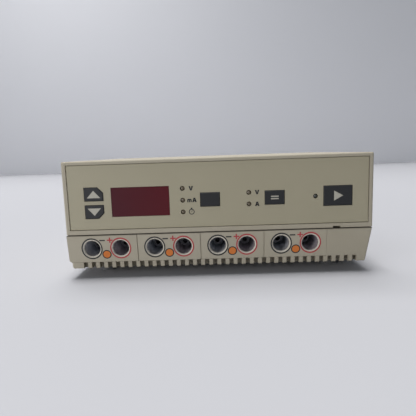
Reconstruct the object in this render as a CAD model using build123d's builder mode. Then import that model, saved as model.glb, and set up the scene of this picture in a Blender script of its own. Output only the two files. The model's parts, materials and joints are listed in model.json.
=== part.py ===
from build123d import *
import os
from math import atan2, cos, radians, sin

os.makedirs("parts", exist_ok=True)

# Bench power supply with four output pairs: millimetres, X to the right seen from the front,
# Y towards the back, Z up, origin under the middle of the case on the bench top.

# Case
case_width = 235.2
case_depth = 200.0
case_height = 84.0
foot_height = 8.0
wall = 2.6
corner_radius = 1.5
edge_rounding = 1.2
lower_half_height = 27.3
seam_gap = 0.8
chin_rake = 3.4
left_draft = 1.8
right_draft = 3.8
skirt_depth = 3.0
floor_thickness = 2.5
tongue_width = 1.2
tongue_height = 3.0
tongue_end_gap = 18.0
notch_from_right = 27.2
notch_width = 6.0
notch_height = 1.3
notch_depth = 4.0
floor_slot_length = 36.0
floor_slot_width = 3.0
floor_slot_pitch = 8.0
floor_slot_count = 7
floor_slots_x = 48.0

# Play between parts that slide, and between parts that are only put together
seat = 0.1
slide_gap = 0.2

# Comb of slots along the lower front edge
comb_pitch = 6.37
comb_slot_width = 3.4
comb_slot_height = 5.1
comb_tooth_depth = 4.2
comb_end = 6.9

# Front bezel and control panel
bezel_side = 3.1
bezel_top = 2.7
bezel_bottom = 3.3
panel_gap = 0.35
panel_recess = 0.6
panel_thickness = 2.6
panel_edge = 0.25
ledge_width = 3.4
ledge_depth = 2.5

# Layout of the panel, from its left and right ends and its lower edge
arrow_keys_from_left = 23.2
display_from_arrow_keys = 35.5
left_lamps_from_display = 32.4
select_key_from_lamps = 20.8
run_key_from_right = 26.5
run_lamp_from_key = 16.8
mode_key_from_lamps = 19.5
middle_lamps_offset = 14.1
display_above_opening = 21.2
up_key_above_display = 6.6
down_key_below_display = 7.0
left_lamp_pitch = 9.0
middle_lamp_pitch = 8.8

# Display
display_width = 44.6
display_height = 22.6
display_rebate = 1.2
window_thickness = 1.8
window_gap = 0.15
window_corner = 0.4
module_margin = 2.0
module_gap = 0.5
digit_pitch = 12.0
digit_width = 9.6
digit_height = 15.0
digit_depth = 0.4
digit_count = 3

# Keys
arrow_key_width = 14.4
arrow_key_height = 10.2
arrow_key_corner = 4.2
middle_key_width = 14.7
middle_key_height = 10.4
run_key_width = 21.4
run_key_height = 15.0
key_setback = 0.15
key_edge = 0.35
key_gap = 0.3
key_flange = 1.0
key_flange_thickness = 1.2
key_flange_gap = 0.3
key_travel = 0.8
key_clip_growth = 0.4
key_stem = 4.0
key_stem_grip = 3.4
switch_size = 9.0
switch_corner = 0.8
switch_depth = 6.0

# Indicator lamps
lamp_radius = 1.7
lamp_hole_radius = 1.85
lamp_setback = 0.4
lamp_dome = 0.9
lamp_flange = 0.4
lamp_flange_thickness = 1.0
lamp_flange_gap = 1.6
spacer_wall = 0.8

# Output jacks
jack_pairs = 4
jack_from_left = 18.8
jack_pair_pitch = 49.0
jack_pair_spacing = 22.4
jack_hole_radius = 6.4
jack_chamfer = 0.8
jack_above_middle = 0.2
sleeve_wall = 1.7
sleeve_length = 30.4
sleeve_floor = 3.0
sleeve_flange_radius = 9.4
sleeve_flange_thickness = 1.5
collar_wall = 1.5
contact_bore_radius = 2.0
contact_radius = 3.2
contact_length = 11.0
contact_bore_depth = 10.0
contact_pin_radius = 1.2
contact_pin_length = 7.0

# Jack panel
jack_panel_end = 12.3
jack_panel_skin = 2.4
jack_panel_rim = 2.6
jack_panel_corner = 2.0
jack_panel_thinnest = 3.5
jack_panel_backing = 2.8
jack_panel_gap = 0.15
window_margin = 1.0
bay_groove_width = 0.7
bay_groove_depth = 0.5

# Boards, posts, bosses and screws
board_thickness = 1.6
post_height = 6.0
post_inset = 6.0
post_wall = 2.35
boss_radius = 4.5
boss_from_side = 11.1
boss_behind_jacks = 7.0
boss_before_rear_panel = 9.9
screw_seat_above_floor = 4.0
screw_radius = 1.5
screw_head_radius = 3.3
screw_head_height = 2.4
screw_grip = 14.0
drive_slot_width = 0.9
drive_slot_length = 4.0
drive_slot_depth = 1.2
small_screw_radius = 1.25
small_screw_grip = 5.0
small_head_radius = 2.6
small_head_height = 1.8
hole_spare_depth = 1.0
main_board_from_side = 16.6
main_board_behind_jacks = 11.0
main_board_before_rear_panel = 6.9
board_corner = 2.0
front_board_setback = 11.8
front_board_margin = 1.05
front_board_side_margin = 1.5
front_post_radius = 2.6
front_post_inset = 3.2

# Rubber feet
foot_radius = 8.0
foot_base_radius = 7.0
foot_plug_radius = 3.0
foot_from_side = 23.6
foot_from_end = 32.0

# Parts on the main board, from its middle and its front and rear edges
core_width = 42.0
core_depth = 16.0
core_height = 40.0
core_leg = 7.0
core_middle_leg = 13.0
core_x = -12.0
core_from_rear = 61.0
winding_gap = 0.5
winding_corner = 4.0
reservoir_radius = 12.0
reservoir_height = 34.0
reservoir_x = 38.0
reservoir_from_rear = 39.0
reservoir_pitch = 26.0
film_capacitor_size = (26.0, 10.0, 18.0)
film_capacitor_from_side = 31.0
film_capacitor_from_front = 35.0
film_capacitor_pitch = 16.0
film_capacitor_count = 3
relay_size = (20.0, 10.0, 12.0)
relay_from_side = 17.0
relay_pitch = 24.0
relay_from_front = 14.0
choke_base = 26.0
choke_base_height = 2.0
choke_radius = 12.0
choke_hole_radius = 5.0
choke_height = 12.0
choke_from_side = 21.0
choke_from_rear = 47.0
bridge_size = (16.0, 5.0, 15.0)
bridge_x = 62.0
bridge_from_rear = 77.0
chip_size = (36.0, 13.5, 4.2)
small_chip_size = (20.0, 7.0, 4.2)
chip_x = 10.0
chip_pitch = 40.0
chip_from_front = 36.0
small_chip_from_side = 29.0
part_corner = 0.8
sink_width = 66.0
sink_height = 42.0
sink_plate = 4.0
sink_from_side = 44.0
sink_from_rear = 23.0
fin_length = 16.0
fin_thickness = 1.6
fin_pitch = 8.0
fin_count = 9
transistor_size = (10.2, 4.5, 15.5)
transistor_pitch = 22.0
transistor_count = 3
transistor_lift = 12.25
lead_pitch = 2.54
leg_width = 0.9
leg_thickness = 0.5

# Flat cables
ribbon_thickness = 1.0
header_margin = 1.5
header_height = 6.0
header_behind_edge = 5.0
front_ribbon_x = 20.0
front_ribbon_width = 26.0
front_ribbon_above_board = 8.0
front_header_depth = 5.0
front_header_up = 8.2
front_ribbon_bend = 14.0
jack_ribbon_width = 12.0
jack_header_depth = 3.5
jack_header_above_middle = 2.7
jack_ribbon_above_board = 1.5
jack_ribbon_bend = 2.5

# Rear panel and mains parts
rear_panel_thickness = 1.5
rear_panel_overlap = 5.5
rear_panel_top_gap = 0.4
rear_window_from_side = 13.0
rear_window_rim = 5.4
vent_from_left = 65.6
vent_length = 44.0
vent_width = 3.0
vent_pitch = 6.5
vent_count = 12
inlet_from_right = 47.6
inlet_above_floor = 28.5
inlet_body_width = 28.0
inlet_flange_width = 50.0
inlet_flange_margin = 1.2
inlet_flange_thickness = 2.0
inlet_flange_corner = 4.0
inlet_body_depth = 24.0
inlet_roof = 2.0
inlet_screw_inset = 5.0
socket_width = 24.4
socket_height = 16.8
socket_depth = 17.0
socket_corner = 4.5
blade_width = 2.0
blade_height = 4.0
blade_length = 13.0
blade_tip = 0.5
blade_offset_x = 7.0
blade_offset_z = 2.0
drawer_drop = 13.6
drawer_width = 22.4
drawer_height = 6.4
drawer_depth = 20.0
drawer_spare_depth = 1.0
drawer_lip = 0.5
fuse_radius = 2.5
fuse_length = 20.0
fuse_depth = 6.0
fuse_pitch = 7.0
fuse_sink = 0.3
switch_from_inlet = 40.0
mains_switch_width = 15.0
mains_switch_height = 21.0
mains_switch_corner = 1.0
mains_switch_flange = 1.5
mains_switch_depth = 15.0
mains_switch_ledge = 1.2
switch_bezel = 2.3
rocker_gap = 0.3
rocker_pivot_radius = 1.0
rocker_pivot_play = 0.05
rocker_pivot_setback = 2.2
rocker_crown = 3.2
rocker_shoulder = 2.2
rocker_belly = 2.6
rocker_taper = 1.6
rocker_tilt = 8.0
switch_side_wall = 0.4
well_depth = 4.6
mains_lead_radius = 1.5
mains_lead_bend = 6.0
mains_lead_reach = 10.0
switch_lead_reach = 14.0
switch_lead_offset = 4.0

# Levels and planes that follow from the sizes above
front_y = -case_depth / 2
rear_y = case_depth / 2
bottom_z = foot_height
top_z = foot_height + case_height
seam_z = bottom_z + lower_half_height
base_top_z = seam_z - seam_gap / 2
cover_bottom_z = seam_z + seam_gap / 2
floor_z = bottom_z + skirt_depth
floor_top_z = floor_z + floor_thickness
chin_height = base_top_z - bottom_z
rake_angle = atan2(chin_rake, chin_height)


def base_left(z):
    # Left side of the drafted lower half at height z
    return -case_width / 2 + left_draft * (base_top_z - z) / chin_height


def base_right(z):
    # Right side of the drafted lower half at height z
    return case_width / 2 - right_draft * (base_top_z - z) / chin_height


def base_width(z):
    return base_right(z) - base_left(z)


def base_middle(z):
    return (base_right(z) + base_left(z)) / 2


def base_front(z):
    # Front of the raked chin at height z
    return front_y + chin_rake * (base_top_z - z) / chin_height


def facing(y):
    # Upright plane at depth y that looks towards the front, with X across and Z up
    return Plane(origin=(0, y, 0), x_dir=(1, 0, 0), z_dir=(0, -1, 0))


def facing_at(x, y, z):
    # The same plane with its own origin on the middle of a part
    return Plane(origin=(x, y, z), x_dir=(1, 0, 0), z_dir=(0, -1, 0))


def spread(middle, pitch, count):
    # Places of count things in a row about the middle
    return [middle + pitch * (n - (count - 1) / 2) for n in range(count)]


def hand_over(piece, name):
    piece.part.label = name
    export_step(piece.part, "parts/" + name + ".step")


# Front: panel opening, ledge and the places of what the panel carries
panel_front_y = front_y + panel_recess
panel_back_y = panel_front_y + panel_thickness
opening_width = case_width - 2 * bezel_side
opening_bottom_z = cover_bottom_z + bezel_bottom
opening_top_z = top_z - bezel_top
opening_height = opening_top_z - opening_bottom_z
opening_z = (opening_top_z + opening_bottom_z) / 2
display_z = opening_bottom_z + display_above_opening
arrow_key_x = -case_width / 2 + arrow_keys_from_left
display_x = arrow_key_x + display_from_arrow_keys
left_lamp_x = display_x + left_lamps_from_display
select_key_x = left_lamp_x + select_key_from_lamps
run_key_x = case_width / 2 - run_key_from_right
run_lamp_x = run_key_x - run_lamp_from_key
free_middle_x = (select_key_x + middle_key_width / 2 + run_lamp_x) / 2
middle_lamp_x = free_middle_x - middle_lamps_offset
mode_key_x = middle_lamp_x + mode_key_from_lamps
keys = {
    "up_key": (arrow_key_x, display_z + up_key_above_display,
               arrow_key_width, arrow_key_height, arrow_key_corner),
    "down_key": (arrow_key_x, display_z - down_key_below_display,
                 arrow_key_width, arrow_key_height, -arrow_key_corner),
    "select_key": (select_key_x, display_z, middle_key_width, middle_key_height, 0),
    "mode_key": (mode_key_x, display_z, middle_key_width, middle_key_height, 0),
    "run_key": (run_key_x, display_z, run_key_width, run_key_height, 0),
}
lamps = [(left_lamp_x, z) for z in spread(display_z, left_lamp_pitch, 3)]
lamps += [(middle_lamp_x, z) for z in spread(display_z, middle_lamp_pitch, 2)]
lamps += [(run_lamp_x, display_z)]

# Boards behind the panel
front_board_y = panel_back_y + front_board_setback
front_board_back = front_board_y + board_thickness
front_board_width = opening_width - 2 * (ledge_width + front_board_side_margin)
front_board_height = opening_height - 2 * (ledge_width + front_board_margin)
front_post_x = front_board_width / 2 - front_post_inset
front_post_z = front_board_height / 2 - front_post_inset
front_posts = [(x, opening_z + z) for x in (-front_post_x, front_post_x)
               for z in (-front_post_z, front_post_z)]

# Jacks: the sleeves seat in the collars of the raked jack panel
jack_panel_left = -case_width / 2
jack_panel_bottom_z = bottom_z + comb_slot_height + jack_panel_gap
jack_z = (jack_panel_bottom_z + base_top_z) / 2 + jack_above_middle
jack_face_y = base_front(jack_panel_bottom_z)
rebate_y = jack_face_y + jack_panel_thinnest
cavity_front_y = rebate_y + jack_panel_backing
comb_back_y = base_front(bottom_z) + comb_tooth_depth
sleeve_outer = jack_hole_radius + sleeve_wall
sleeve_front_y = jack_face_y + jack_panel_thinnest / 4
sleeve_back_y = sleeve_front_y + sleeve_length
sleeve_floor_y = sleeve_back_y - sleeve_floor
minus_places = [jack_panel_left + jack_from_left + n * jack_pair_pitch for n in range(jack_pairs)]
plus_places = [x + jack_pair_spacing for x in minus_places]
jack_places = [(x, jack_z) for x in minus_places + plus_places]
bay_lines = [(a + b) / 2 for a, b in zip(plus_places[:-1], minus_places[1:])]
jack_panel_right = plus_places[-1] + jack_panel_end

# Rear panel, main board and the screws that hold the case together
rear_panel_y = rear_y - wall
rear_panel_front_y = rear_panel_y - rear_panel_thickness
rear_window_width = case_width - 2 * rear_window_from_side
board_post_top = floor_top_z + post_height
main_board_top = board_post_top + board_thickness
main_board_width = case_width - 2 * main_board_from_side
main_board_front = sleeve_back_y + main_board_behind_jacks
main_board_rear = rear_panel_front_y - main_board_before_rear_panel
main_board_depth = main_board_rear - main_board_front
main_board_y = (main_board_rear + main_board_front) / 2
board_side = main_board_width / 2
board_posts = [(x, y) for x in (post_inset - board_side, 0, board_side - post_inset)
               for y in (main_board_front + post_inset, main_board_rear - post_inset)]
boss_x = case_width / 2 - boss_from_side
boss_places = [(x, y) for x in (-boss_x, boss_x)
               for y in (sleeve_back_y + boss_behind_jacks, rear_panel_front_y - boss_before_rear_panel)]
screw_seat_z = floor_top_z + screw_seat_above_floor
foot_x = case_width / 2 - foot_from_side
foot_y = case_depth / 2 - foot_from_end
foot_places = [(x, y) for x in (-foot_x, foot_x) for y in (-foot_y, foot_y)]
tongue_x = case_width / 2 - wall + tongue_width / 3
tongue_length = case_depth - tongue_end_gap


# Lower half of the case: drafted tray with a comb along its front foot
with BuildPart() as base_tray:
    with BuildSketch(Plane.XY.offset(bottom_z)):
        with Locations((base_middle(bottom_z), chin_rake / 2)):
            RectangleRounded(base_width(bottom_z), case_depth - chin_rake, corner_radius)
    with BuildSketch(Plane.XY.offset(base_top_z)):
        RectangleRounded(case_width, case_depth, corner_radius)
    loft()
    fillet(base_tray.edges().group_by(Axis.Z)[0], edge_rounding)
    # Inside of the tray
    cavity_depth = rear_panel_y - cavity_front_y
    cavity_y = (rear_panel_y + cavity_front_y) / 2
    with BuildSketch(Plane.XY.offset(floor_top_z)):
        with Locations((base_middle(floor_top_z), cavity_y)):
            Rectangle(base_width(floor_top_z) - 2 * wall, cavity_depth)
    with BuildSketch(Plane.XY.offset(base_top_z)):
        with Locations((0, cavity_y)):
            Rectangle(case_width - 2 * wall, cavity_depth)
    loft(mode=Mode.SUBTRACT)
    # Hollow under the floor, inside the skirt
    skirt_front_y = comb_back_y + wall
    skirt_length = rear_panel_y - skirt_front_y
    with BuildSketch(Plane.XY.offset(bottom_z)):
        with Locations((base_middle(bottom_z), skirt_front_y + skirt_length / 2)):
            Rectangle(base_width(bottom_z) - 2 * wall, skirt_length)
    extrude(amount=skirt_depth, mode=Mode.SUBTRACT)
    # Comb slots in the front skirt, as many as fit between the corners
    comb_reach = min(base_right(bottom_z), -base_left(bottom_z)) - comb_end
    comb_span = 2 * comb_reach - comb_slot_width
    comb_count = int(comb_span / comb_pitch) + 1
    with BuildSketch(Plane.XY.offset(bottom_z)):
        with Locations((0, (front_y + comb_back_y) / 2)):
            with GridLocations(comb_pitch, 1, comb_count, 1):
                Rectangle(comb_slot_width, comb_back_y - front_y)
    extrude(amount=comb_slot_height, mode=Mode.SUBTRACT)
    # Rebate that takes the jack panel, open at the left end and at the top
    rebate_right = jack_panel_right + jack_panel_gap
    rebate_width = rebate_right - jack_panel_left + wall
    with BuildSketch(facing(front_y)):
        with Locations((rebate_right - rebate_width / 2, jack_panel_bottom_z - jack_panel_gap)):
            Rectangle(rebate_width, chin_height, align=(Align.CENTER, Align.MIN))
    extrude(amount=front_y - rebate_y, mode=Mode.SUBTRACT)
    # Window behind the jack panel for the sleeves
    window_reach = sleeve_flange_radius + window_margin
    window_width = plus_places[-1] - minus_places[0] + 2 * window_reach
    window_x = (plus_places[-1] + minus_places[0]) / 2
    with BuildSketch(facing(rebate_y)):
        with Locations((window_x, jack_z - sleeve_flange_radius - seat)):
            Rectangle(window_width, chin_height, align=(Align.CENTER, Align.MIN))
    extrude(amount=rebate_y - cavity_front_y, mode=Mode.SUBTRACT)
    # Pocket that thins the blank end of the chin
    pocket_left = rebate_right + wall
    pocket_right = base_right(floor_top_z) - wall
    with BuildSketch(facing(cavity_front_y)):
        with Locations(((pocket_left + pocket_right) / 2, floor_top_z + wall)):
            Rectangle(pocket_right - pocket_left, chin_height, align=(Align.CENTER, Align.MIN))
    extrude(amount=cavity_front_y - jack_face_y - wall, mode=Mode.SUBTRACT)
    # Window for the rear panel
    with BuildSketch(facing(rear_y)):
        with Locations((0, floor_top_z + rear_window_rim)):
            Rectangle(rear_window_width, chin_height, align=(Align.CENTER, Align.MIN))
    extrude(amount=wall, mode=Mode.SUBTRACT)
    # Tongues that locate the cover along both sides
    with BuildSketch(Plane.XY.offset(base_top_z - tongue_height / 3)):
        with Locations((-tongue_x, 0), (tongue_x, 0)):
            Rectangle(tongue_width, tongue_length)
    extrude(amount=tongue_height)
    # Posts for the main board and bosses for the case screws
    with BuildSketch(Plane.XY.offset(floor_top_z)):
        with Locations(*board_posts):
            Circle(small_screw_radius + post_wall)
    extrude(amount=post_height)
    with BuildSketch(Plane.XY.offset(floor_top_z)):
        with Locations(*boss_places):
            Circle(boss_radius)
    extrude(amount=seam_z - floor_top_z)
    # Screw holes: counterbored from below in the bosses, blind in the posts
    with BuildSketch(Plane.XY.offset(floor_z)):
        with Locations(*boss_places):
            Circle(screw_radius + seat)
    extrude(amount=seam_z - floor_z, mode=Mode.SUBTRACT)
    with BuildSketch(Plane.XY.offset(floor_z)):
        with Locations(*boss_places):
            Circle(screw_head_radius + seat)
    extrude(amount=screw_seat_z - floor_z, mode=Mode.SUBTRACT)
    with BuildSketch(Plane.XY.offset(board_post_top)):
        with Locations(*board_posts):
            Circle(small_screw_radius + seat)
    extrude(amount=-post_height, mode=Mode.SUBTRACT)
    # Sockets for the plugs of the rubber feet
    with BuildSketch(Plane.XY.offset(floor_z)):
        with Locations(*foot_places):
            Circle(foot_plug_radius + seat)
    extrude(amount=floor_thickness, mode=Mode.SUBTRACT)
    # Air slots through the floor
    with BuildSketch(Plane.XY.offset(floor_z)):
        with Locations((-floor_slots_x, main_board_y), (floor_slots_x, main_board_y)):
            with GridLocations(floor_slot_pitch, 1, floor_slot_count, 1):
                SlotOverall(floor_slot_length, floor_slot_width, rotation=90)
    extrude(amount=floor_thickness, mode=Mode.SUBTRACT)
hand_over(base_tray, "base_tray")


# Upper half of the case: one shell with the bezel that frames the control panel
with BuildPart() as top_cover:
    with BuildSketch(Plane.XY.offset(cover_bottom_z)):
        RectangleRounded(case_width, case_depth, corner_radius)
    extrude(amount=top_z - cover_bottom_z)
    fillet(top_cover.edges().group_by(Axis.Z)[-1], edge_rounding)
    inside_front_y = panel_back_y + ledge_depth
    inside_depth = rear_panel_y - inside_front_y
    with BuildSketch(Plane.XY.offset(cover_bottom_z)):
        with Locations((0, inside_front_y + inside_depth / 2)):
            Rectangle(case_width - 2 * wall, inside_depth)
    extrude(amount=top_z - wall - cover_bottom_z, mode=Mode.SUBTRACT)
    # Opening for the control panel, with the ledge that the panel seats on
    with BuildSketch(facing(front_y)):
        with Locations((0, opening_z)):
            Rectangle(opening_width, opening_height)
    extrude(amount=front_y - panel_back_y, mode=Mode.SUBTRACT)
    with BuildSketch(facing(panel_back_y)):
        with Locations((0, opening_z)):
            Rectangle(opening_width - 2 * ledge_width, opening_height - 2 * ledge_width)
    extrude(amount=-ledge_depth, mode=Mode.SUBTRACT)
    # Window for the rear panel
    rear_window_top = top_z - wall - rear_window_rim
    with BuildSketch(facing(rear_y)):
        with Locations((0, cover_bottom_z)):
            Rectangle(rear_window_width, rear_window_top - cover_bottom_z, align=(Align.CENTER, Align.MIN))
    extrude(amount=wall, mode=Mode.SUBTRACT)
    # Grooves for the tongues of the tray
    with BuildSketch(Plane.XY.offset(cover_bottom_z)):
        with Locations((-tongue_x, 0), (tongue_x, 0)):
            Rectangle(tongue_width + 2 * slide_gap, tongue_length + 2 * slide_gap)
    extrude(amount=tongue_height, mode=Mode.SUBTRACT)
    # Bosses over those of the tray
    with BuildSketch(Plane.XY.offset(seam_z)):
        with Locations(*boss_places):
            Circle(boss_radius)
    extrude(amount=top_z - wall - seam_z)
    with BuildSketch(Plane.XY.offset(seam_z)):
        with Locations(*boss_places):
            Circle(screw_radius + seat)
    extrude(amount=screw_grip + hole_spare_depth, mode=Mode.SUBTRACT)
    # Pry notch in the lower front edge
    with BuildSketch(facing(front_y)):
        with Locations((case_width / 2 - notch_from_right, cover_bottom_z)):
            Rectangle(notch_width, notch_height, align=(Align.CENTER, Align.MIN))
    extrude(amount=-notch_depth, mode=Mode.SUBTRACT)
hand_over(top_cover, "top_cover")


# Jack panel: moulded strip with eight chamfered holes, divided into four bays
with BuildPart() as jack_panel:
    panel_span = jack_panel_right - jack_panel_left
    with BuildSketch(Plane.YZ.offset(jack_panel_left)):
        with BuildLine():
            Polyline(
                (base_front(base_top_z), base_top_z),
                (rebate_y, base_top_z),
                (rebate_y, jack_panel_bottom_z),
                (jack_face_y, jack_panel_bottom_z),
                close=True,
            )
        make_face()
    extrude(amount=panel_span)
    end_edges = jack_panel.edges().filter_by(Axis.Y).group_by(Axis.X)[0]
    fillet(end_edges.sort_by(Axis.Z)[0], jack_panel_corner)
    # Hollow back
    hollow_top = base_top_z - jack_panel_rim
    hollow_bottom = jack_panel_bottom_z + jack_panel_rim
    with BuildSketch(Plane.YZ.offset(jack_panel_left + jack_panel_rim)):
        with BuildLine():
            Polyline(
                (base_front(hollow_top) + jack_panel_skin, hollow_top),
                (rebate_y, hollow_top),
                (rebate_y, hollow_bottom),
                (base_front(hollow_bottom) + jack_panel_skin, hollow_bottom),
                close=True,
            )
        make_face()
    extrude(amount=panel_span - 2 * jack_panel_rim, mode=Mode.SUBTRACT)
    # Collars that hold the sleeves
    with BuildSketch(facing(rebate_y)):
        with Locations(*jack_places):
            Circle(sleeve_outer + collar_wall)
    extrude(amount=rebate_y - sleeve_front_y)
    with BuildSketch(facing(rebate_y)):
        with Locations(*jack_places):
            Circle(sleeve_outer + seat)
    extrude(amount=rebate_y - sleeve_front_y, mode=Mode.SUBTRACT)
    with BuildSketch(facing(rebate_y)):
        with Locations(*jack_places):
            Circle(jack_hole_radius)
    extrude(amount=rebate_y - front_y, mode=Mode.SUBTRACT)
    hole_mouths = jack_panel.edges().filter_by(
        lambda e: e.is_closed and e.center().Y < sleeve_front_y - jack_chamfer / 2)
    chamfer(hole_mouths, jack_chamfer)
    # Grooves between the bays, cut square to the raked face
    chin_plane = Plane(
        origin=(0, front_y, base_top_z),
        x_dir=(1, 0, 0),
        z_dir=(0, -cos(rake_angle), -sin(rake_angle)),
    )
    with BuildSketch(chin_plane):
        with Locations(*[(x, -chin_height / 2) for x in bay_lines]):
            Rectangle(bay_groove_width, 2 * chin_height)
    extrude(amount=-bay_groove_depth, mode=Mode.SUBTRACT)
hand_over(jack_panel, "jack_panel")


def key_outline(width, height, corner, grow):
    # The arrow keys have one clipped corner, the upper right for up and the lower right for down
    half_width = width / 2 + grow
    half_height = height / 2 + grow
    if corner == 0:
        Rectangle(2 * half_width, 2 * half_height)
        return
    side = 1 if corner > 0 else -1
    clip = abs(corner) + grow * key_clip_growth
    corners = [
        (-half_width, -half_height * side),
        (half_width, -half_height * side),
        (half_width, (half_height - clip) * side),
        (half_width - clip, half_height * side),
        (-half_width, half_height * side),
    ]
    Polygon(*corners[::side], align=None)


# Control panel: plate in the bezel, with key openings, lamp holes and board posts
with BuildPart() as control_panel:
    with BuildSketch(facing(panel_front_y)):
        with Locations((0, opening_z)):
            Rectangle(opening_width - 2 * panel_gap, opening_height - 2 * panel_gap)
    extrude(amount=-panel_thickness)
    chamfer(control_panel.faces().sort_by(Axis.Y)[0].edges(), panel_edge)
    with BuildSketch(facing(panel_back_y)):
        with Locations(*front_posts):
            Circle(front_post_radius)
    extrude(amount=-front_board_setback)
    with BuildSketch(facing(front_board_y)):
        with Locations(*front_posts):
            Circle(small_screw_radius + seat)
    extrude(amount=small_screw_grip + hole_spare_depth, mode=Mode.SUBTRACT)
    for x, z, width, height, corner in keys.values():
        with BuildSketch(facing_at(x, panel_front_y, z)):
            key_outline(width, height, corner, key_gap)
        extrude(amount=-panel_thickness, mode=Mode.SUBTRACT)
    with BuildSketch(facing(panel_front_y)):
        with Locations(*lamps):
            Circle(lamp_hole_radius)
    extrude(amount=-panel_thickness, mode=Mode.SUBTRACT)
    with BuildSketch(facing(panel_front_y)):
        with Locations((display_x, display_z)):
            Rectangle(display_width, display_height)
    extrude(amount=-window_thickness - window_gap, mode=Mode.SUBTRACT)
    with BuildSketch(facing(panel_front_y)):
        with Locations((display_x, display_z)):
            Rectangle(display_width - 2 * display_rebate, display_height - 2 * display_rebate)
    extrude(amount=-panel_thickness, mode=Mode.SUBTRACT)
hand_over(control_panel, "control_panel")


# Red filter window, seated in the rebate of the panel
with BuildPart() as display_window:
    with BuildSketch(facing(panel_front_y + window_gap)):
        with Locations((display_x, display_z)):
            RectangleRounded(display_width - 2 * window_gap, display_height - 2 * window_gap, window_corner)
    extrude(amount=-window_thickness)
hand_over(display_window, "display_window")


# Numeric display block on the front board, with a pocket for each digit
with BuildPart() as display_module:
    module_front_y = panel_back_y + module_gap
    with BuildSketch(facing(module_front_y)):
        with Locations((display_x, display_z)):
            Rectangle(display_width - 2 * module_margin, display_height - 2 * module_margin)
    extrude(amount=module_front_y - front_board_y)
    with BuildSketch(facing(module_front_y)):
        with Locations((display_x, display_z)):
            with GridLocations(digit_pitch, 1, digit_count, 1):
                Rectangle(digit_width, digit_height)
    extrude(amount=-digit_depth, mode=Mode.SUBTRACT)
hand_over(display_module, "display_module")


# Keys: cap, retaining flange and stem that slides in the switch
key_front_y = front_y + key_setback
switch_front_y = front_board_y - switch_depth
stem_end_y = switch_front_y + key_stem_grip
flange_front_y = panel_back_y + key_flange_gap
for name, (x, z, width, height, corner) in keys.items():
    with BuildPart() as key:
        with BuildSketch(facing_at(x, key_front_y, z)):
            key_outline(width, height, corner, 0)
        extrude(amount=key_front_y - flange_front_y)
        chamfer(key.faces().sort_by(Axis.Y)[0].edges(), key_edge)
        with BuildSketch(facing_at(x, flange_front_y, z)):
            key_outline(width, height, corner, key_flange)
        extrude(amount=-key_flange_thickness)
        with BuildSketch(facing_at(x, flange_front_y, z)):
            Rectangle(key_stem, key_stem)
        extrude(amount=flange_front_y - stem_end_y)
    hand_over(key, name)


# Switch housings on the front board, one behind each key
key_places = [(x, z) for x, z, width, height, corner in keys.values()]
with BuildPart() as key_switches:
    with BuildSketch(facing(switch_front_y)):
        with Locations(*key_places):
            RectangleRounded(switch_size, switch_size, switch_corner)
    extrude(amount=-switch_depth)
    with BuildSketch(facing(switch_front_y)):
        with Locations(*key_places):
            Rectangle(key_stem + 2 * slide_gap, key_stem + 2 * slide_gap)
    extrude(amount=-(key_stem_grip + key_travel + slide_gap), mode=Mode.SUBTRACT)
hand_over(key_switches, "key_switches")


# Indicator lamps: domed lens with a flange, each on a spacer
lamp_tip_y = panel_front_y + lamp_setback
lamp_flange_y = panel_back_y + lamp_flange_gap
lamp_base_y = lamp_flange_y + lamp_flange_thickness
with BuildPart() as indicator_lamps:
    with BuildSketch(facing(lamp_base_y)):
        with Locations(*lamps):
            Circle(lamp_radius)
    extrude(amount=lamp_base_y - lamp_tip_y)
    fillet(indicator_lamps.edges().group_by(Axis.Y)[0], lamp_dome * lamp_radius)
    with BuildSketch(facing(lamp_base_y)):
        with Locations(*lamps):
            Circle(lamp_radius + lamp_flange)
    extrude(amount=lamp_flange_thickness)
hand_over(indicator_lamps, "indicator_lamps")

with BuildPart() as lamp_spacers:
    with BuildSketch(facing(lamp_base_y)):
        with Locations(*lamps):
            Circle(lamp_radius + spacer_wall)
    extrude(amount=lamp_base_y - front_board_y)
hand_over(lamp_spacers, "lamp_spacers")


# Front board and its four screws
with BuildPart() as front_board:
    with BuildSketch(facing(front_board_y)):
        with Locations((0, opening_z)):
            RectangleRounded(front_board_width, front_board_height, board_corner)
        with Locations(*front_posts):
            Circle(small_screw_radius + seat, mode=Mode.SUBTRACT)
    extrude(amount=-board_thickness)
hand_over(front_board, "front_board")

with BuildPart() as front_board_screws:
    with BuildSketch(facing(front_board_back)):
        with Locations(*front_posts):
            Circle(small_head_radius)
    extrude(amount=-small_head_height)
    with BuildSketch(facing(front_board_back)):
        with Locations(*front_posts):
            Circle(small_screw_radius)
    extrude(amount=board_thickness + small_screw_grip)
hand_over(front_board_screws, "front_board_screws")


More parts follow.
